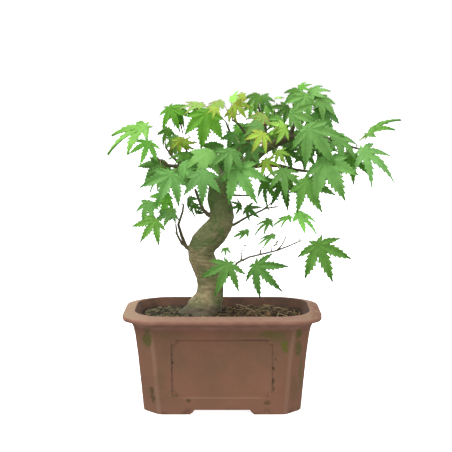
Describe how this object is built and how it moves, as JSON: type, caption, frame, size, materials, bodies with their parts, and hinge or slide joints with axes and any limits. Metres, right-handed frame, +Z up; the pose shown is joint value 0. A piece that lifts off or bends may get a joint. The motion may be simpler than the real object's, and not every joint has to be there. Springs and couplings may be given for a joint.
{
  "type": "bonsai tree in a pot",
  "caption": "Maple bonsai with a curved trunk and drooping lobed leaves, rooted in soil in a rectangular unglazed clay pot with a flared lip and corner feet.",
  "frame": {"origin": "middle of the whole plant's footprint, at the level the feet stand on; the pot's centre is 33 mm to -X and 1 mm to +Y of it", "axes": "+X to the right seen from the front, +Y to the back, +Z up"},
  "size_m": [0.2972, 0.1245, 0.3383],
  "materials": {
    "clay": "unglazed, matt",
    "soil": "granular, matt",
    "bark": "smooth young bark, matt",
    "leaf": "soft sheen",
    "mesh": "matt",
    "wire": "dark anodised"
  },
  "bodies": {
    "root": {"drainage_mesh_left": "mesh", "drainage_mesh_right": "mesh", "leaf_apex_centre": "leaf", "leaf_apex_left": "leaf", "leaf_apex_right_a": "leaf", "leaf_apex_right_b": "leaf", "leaf_apex_sprig": "leaf", "leaf_back_end": "leaf", "leaf_back_left": "leaf", "leaf_back_mid": "leaf", "leaf_back_right": "leaf", "leaf_big_top_left": "leaf", "leaf_branch_low": "leaf", "leaf_branch_mid": "leaf", "leaf_branch_spur_far": "leaf", "leaf_branch_spur_near": "leaf", "leaf_branch_tip": "leaf", "leaf_branch_twig": "leaf", "leaf_collar": "leaf", "leaf_front_large": "leaf", "leaf_front_pair": "leaf", "leaf_front_right": "leaf", "leaf_front_spur": "leaf", "leaf_high_bud": "leaf", "leaf_high_mid_fold": "leaf", "leaf_high_mid_pair": "leaf", "leaf_high_mid_pale": "leaf", "leaf_knot_low": "leaf", "leaf_knot_pair": "leaf", "leaf_knot_small": "leaf", "leaf_left_behind": "leaf", "leaf_left_curled_a": "leaf", "leaf_left_curled_b": "leaf", "leaf_left_high": "leaf", "leaf_left_light": "leaf", "leaf_left_low_tip": "leaf", "leaf_left_outer": "leaf", "leaf_lime_front": "leaf", "leaf_lime_low": "leaf", "leaf_low_right_big": "leaf", "leaf_low_right_dark": "leaf", "leaf_low_right_in": "leaf", "leaf_low_right_mid": "leaf", "leaf_mid_left_front": "leaf", "leaf_mid_left_inner": "leaf", "leaf_right_large": "leaf", "leaf_right_second": "leaf", "leaf_right_tip_back": "leaf", "leaf_right_tip_high": "leaf", "leaf_right_tip_low": "leaf", "leaf_right_under": "leaf", "leaf_right_upper_dark": "leaf", "leaf_top_left_young": "leaf", "leaf_top_light": "leaf", "leaf_top_yellow": "leaf", "leaf_under_top_left": "leaf", "pot": "clay", "soil": "soil", "tie_wire": "wire", "wood": "bark"}
  },
  "joints": []
}
